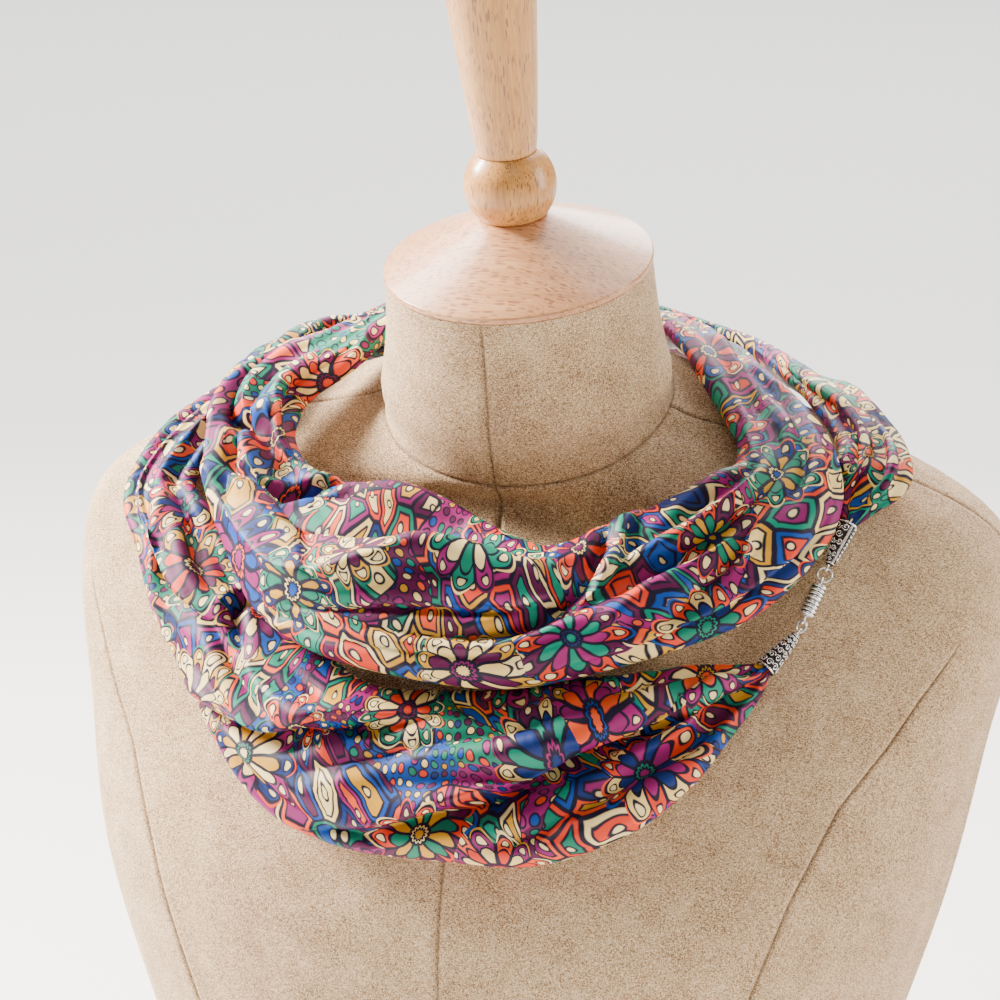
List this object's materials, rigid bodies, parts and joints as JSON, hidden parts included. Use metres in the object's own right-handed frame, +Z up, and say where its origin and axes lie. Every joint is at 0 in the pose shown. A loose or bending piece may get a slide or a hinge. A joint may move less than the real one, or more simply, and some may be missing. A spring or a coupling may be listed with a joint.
{
  "type": "silk scarf on a dress form",
  "caption": "Gathered silk scarf with cone end caps and a magnetic clasp, wound round the neck of a linen dress form with a turned wooden handle.",
  "frame": {"origin": "centre of the form's flat underside, on the plane it stands on", "axes": "+Z up, -Y the way the form faces, +X the form's left side"},
  "size_m": [0.398, 0.261, 0.7485],
  "materials": {
    "linen": "coarse natural linen, plain weave",
    "beech": "turned beech, satin lacquer",
    "silk": "printed silk twill with a soft sheen",
    "antique_silver": "antique silver plate, dark in the recesses"
  },
  "bodies": {
    "root": {"form_torso": "linen", "form_neck_cap": "beech", "form_ball": "beech", "form_handle": "beech", "scarf_lower_swag": "silk", "scarf_back_lower": "silk", "scarf_upper_swag": "silk", "scarf_tail": "silk", "end_cap_lower": "antique_silver", "end_cap_upper": "antique_silver", "clasp_lower": "antique_silver", "clasp_upper": "antique_silver", "jump_ring": "antique_silver", "oval_link": "antique_silver"}
  },
  "joints": []
}
